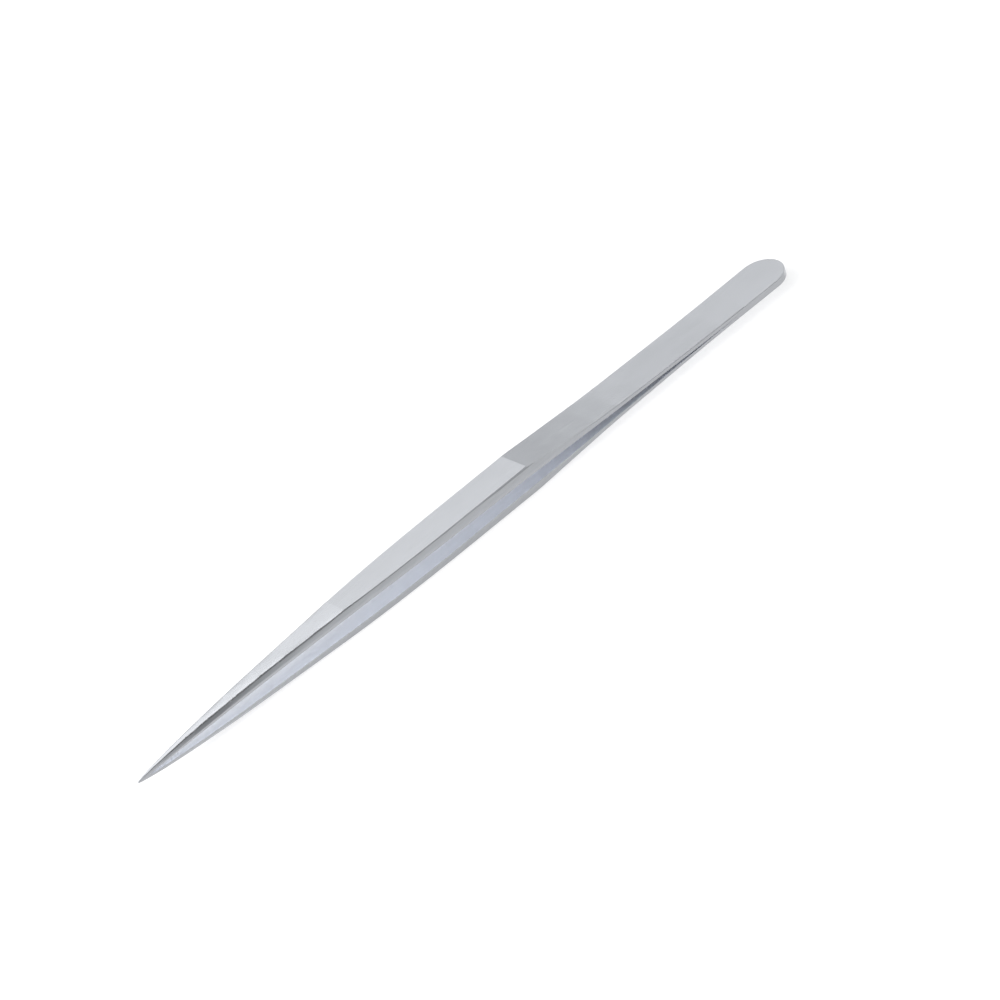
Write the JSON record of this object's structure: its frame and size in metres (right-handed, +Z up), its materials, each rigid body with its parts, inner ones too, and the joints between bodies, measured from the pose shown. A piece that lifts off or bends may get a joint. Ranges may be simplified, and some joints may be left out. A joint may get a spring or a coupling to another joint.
{
  "type": "fine point tweezers",
  "caption": "Long slender steel tweezers: ground blades taper to needle points in front of thin spring arms, welded face to face at the rounded handle end.",
  "frame": {"origin": "below the middle of the tweezers' length and width, on the surface that the lower arm's grip flat lies on", "axes": "+X from the points to the handle end, +Y across the arms, +Z up from the lower arm to the upper arm"},
  "size_m": [0.14, 0.0078, 0.0051],
  "materials": {
    "upper_steel": "satin",
    "lower_steel": "satin"
  },
  "bodies": {
    "lower_arm": {"lower_arm": "lower_steel"},
    "upper_arm": {"upper_arm": "upper_steel"}
  },
  "joints": [
    {"name": "squeeze", "type": "hinge", "parent": "lower_arm", "child": "upper_arm", "pos_m": [0.07, 0, 0.00256], "axis": [0, 1, 0], "range_deg": [0, 3.3], "stiffness_Nm_per_rad": 0.5, "springref_deg": 3.3}
  ]
}
